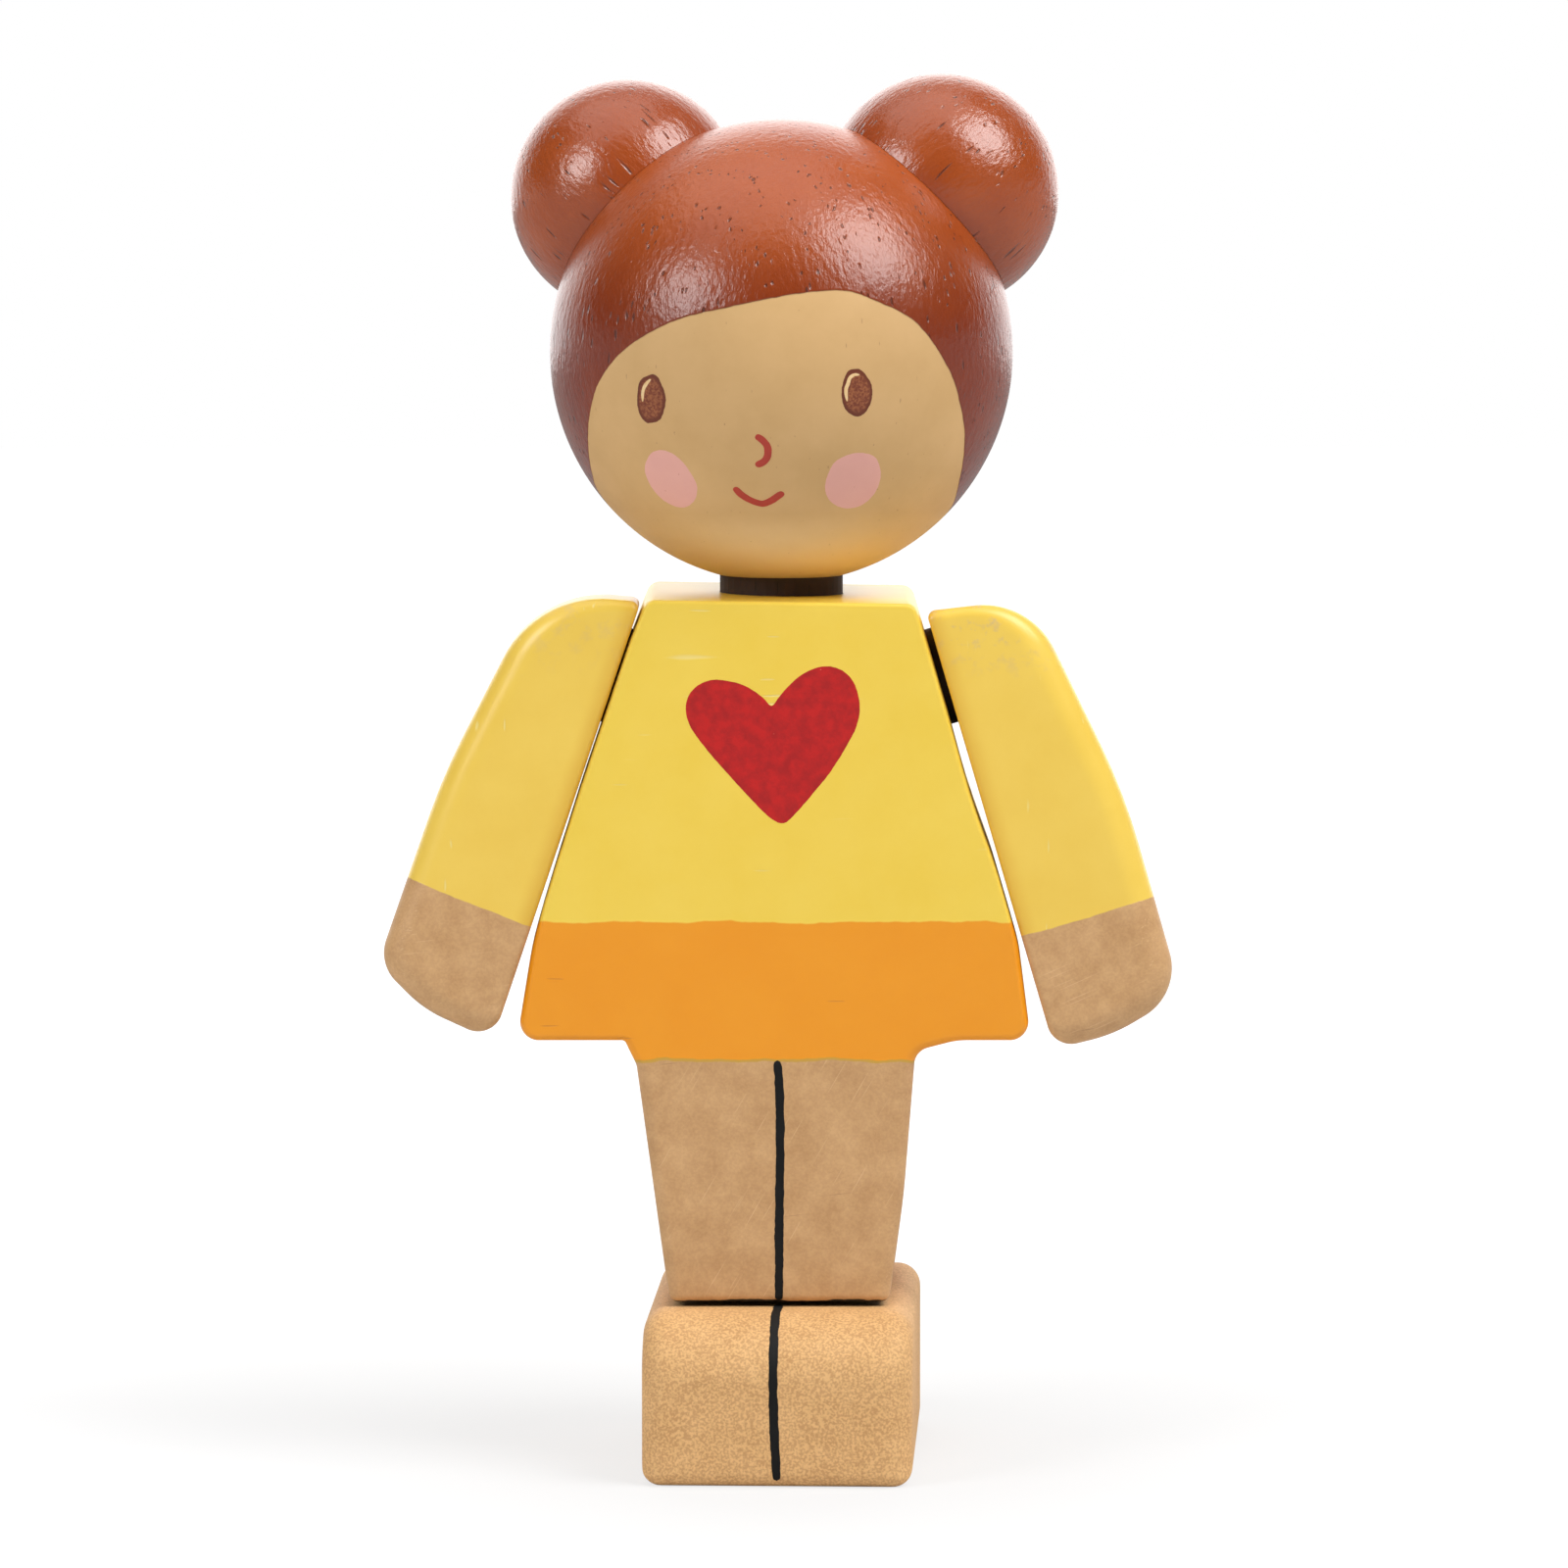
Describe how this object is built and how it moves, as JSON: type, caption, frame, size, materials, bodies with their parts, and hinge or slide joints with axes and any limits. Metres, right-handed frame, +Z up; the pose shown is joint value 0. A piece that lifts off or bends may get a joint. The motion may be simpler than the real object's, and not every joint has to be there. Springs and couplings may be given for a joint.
{
  "type": "wooden toy figure",
  "caption": "Wooden toy figure of a child with two hair buns, a head that turns and arms that swing, standing on a flat foot block.",
  "frame": {"origin": "on the floor, at the flat sole of the foot block, on the axis of the neck dowel", "axes": "+Z up along the neck, the face and toes look along -Y, +X is the doll's left"},
  "size_m": [0.0506, 0.0304, 0.0898],
  "materials": {
    "hair_lacquer": "chestnut paint under satin lacquer, on turned hardwood",
    "dress_lacquer": "yellow paint under satin lacquer, on hardwood",
    "skin_lacquer": "pearly tan paint under satin lacquer, on hardwood",
    "dark_dowel": "dark-stained dowel, matt",
    "bare_beech": "unfinished dowel"
  },
  "bodies": {
    "dress_and_feet": {"dress_and_leg_block": "dress_lacquer", "foot_block": "skin_lacquer", "left_foot_dowel": "bare_beech", "right_foot_dowel": "bare_beech"},
    "head": {"head_ball": "hair_lacquer", "left_bun": "hair_lacquer", "right_bun": "hair_lacquer", "left_bun_dowel": "bare_beech", "right_bun_dowel": "bare_beech", "neck_dowel": "dark_dowel"},
    "left_arm": {"left_arm": "dress_lacquer", "left_shoulder_peg": "dark_dowel"},
    "right_arm": {"right_arm": "dress_lacquer", "right_shoulder_peg": "dark_dowel"}
  },
  "joints": [
    {"name": "head_turn", "type": "hinge", "parent": "dress_and_feet", "child": "head", "pos_m": [0, 0, 0.0563], "axis": [0, 0, 1], "continuous": true},
    {"name": "left_arm_swing", "type": "hinge", "parent": "dress_and_feet", "child": "left_arm", "pos_m": [0.01029, -0.0042, 0.05105], "axis": [-0.9593, 0, -0.2823], "range_deg": [-110, 110]},
    {"name": "right_arm_swing", "type": "hinge", "parent": "dress_and_feet", "child": "right_arm", "pos_m": [-0.01048, -0.0042, 0.05105], "axis": [-0.9472, 0, 0.3206], "range_deg": [-110, 110]}
  ]
}
